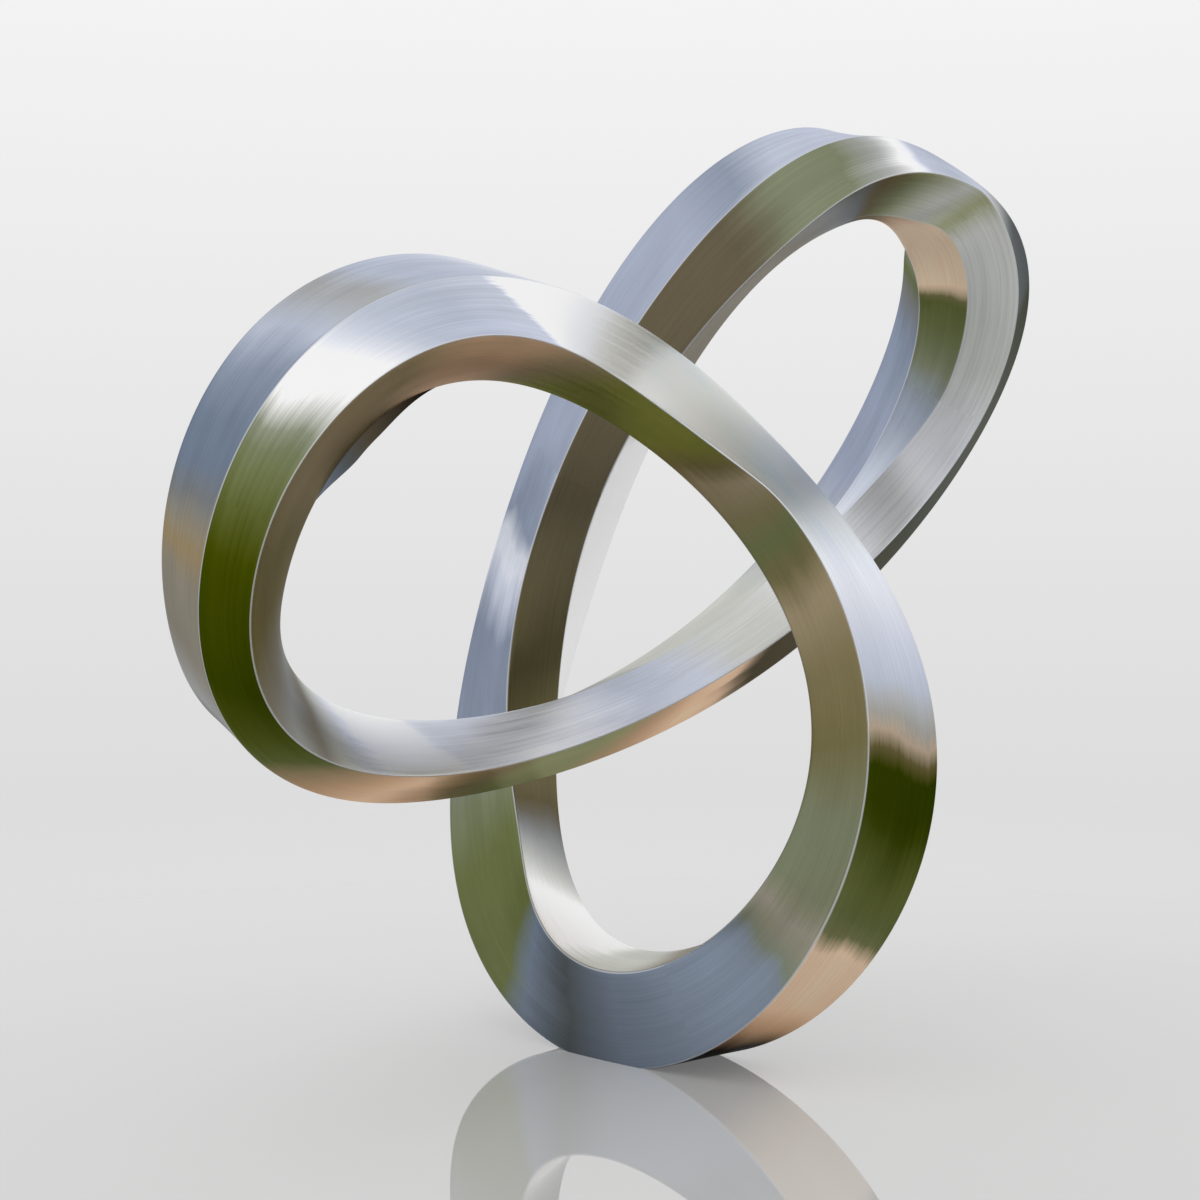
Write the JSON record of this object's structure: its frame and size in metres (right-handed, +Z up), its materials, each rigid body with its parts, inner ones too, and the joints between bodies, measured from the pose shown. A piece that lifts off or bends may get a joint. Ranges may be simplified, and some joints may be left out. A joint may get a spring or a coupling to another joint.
{
  "type": "metal knot sculpture",
  "caption": "Free-standing three-lobed looped sculpture of hollow four-sided brushed stainless section, half-twisted, with a flat anchored foot.",
  "frame": {"origin": "centre of the anchor holes, on the flat underside of the foot", "axes": "+Z up from the ground, +X to the viewer's right, +Y away from the viewer"},
  "size_m": [1.6511, 1.6619, 1.8777],
  "materials": {
    "brushed_stainless": "brushed along the strips",
    "inner_plate": "mill",
    "foot_steel": "ground flat",
    "nut_steel": "plain"
  },
  "bodies": {
    "root": {"segment_01_strip_a": "brushed_stainless", "segment_01_strip_b": "brushed_stainless", "segment_01_strip_c": "brushed_stainless", "segment_01_strip_d": "brushed_stainless", "segment_02_strip_a": "brushed_stainless", "segment_02_strip_b": "brushed_stainless", "segment_02_strip_c": "brushed_stainless", "segment_02_strip_d": "brushed_stainless", "segment_03_strip_a": "brushed_stainless", "segment_03_strip_b": "brushed_stainless", "segment_03_strip_c": "brushed_stainless", "segment_03_strip_d": "brushed_stainless", "segment_04_strip_a": "brushed_stainless", "segment_04_strip_b": "brushed_stainless", "segment_04_strip_c": "brushed_stainless", "segment_04_strip_d": "brushed_stainless", "segment_05_strip_a": "brushed_stainless", "segment_05_strip_b": "brushed_stainless", "segment_05_strip_c": "brushed_stainless", "segment_05_strip_d": "brushed_stainless", "segment_06_strip_a": "brushed_stainless", "segment_06_strip_b": "brushed_stainless", "segment_06_strip_c": "brushed_stainless", "segment_06_strip_d": "brushed_stainless", "segment_07_strip_a": "brushed_stainless", "segment_07_strip_b": "brushed_stainless", "segment_07_strip_c": "brushed_stainless", "segment_07_strip_d_front": "brushed_stainless", "segment_07_strip_d_rear": "brushed_stainless", "segment_08_strip_a": "brushed_stainless", "segment_08_strip_b": "brushed_stainless", "segment_08_strip_c": "brushed_stainless", "segment_08_strip_d": "brushed_stainless", "segment_09_strip_a": "brushed_stainless", "segment_09_strip_b": "brushed_stainless", "segment_09_strip_c": "brushed_stainless", "segment_09_strip_d": "brushed_stainless", "segment_10_strip_a": "brushed_stainless", "segment_10_strip_b": "brushed_stainless", "segment_10_strip_c": "brushed_stainless", "segment_10_strip_d": "brushed_stainless", "segment_11_strip_a": "brushed_stainless", "segment_11_strip_b": "brushed_stainless", "segment_11_strip_c": "brushed_stainless", "segment_11_strip_d": "brushed_stainless", "segment_12_strip_a": "brushed_stainless", "segment_12_strip_b": "brushed_stainless", "segment_12_strip_c": "brushed_stainless", "segment_12_strip_d": "brushed_stainless", "ribs": "inner_plate", "foot_plate": "foot_steel", "anchor_nuts": "nut_steel"}
  },
  "joints": []
}
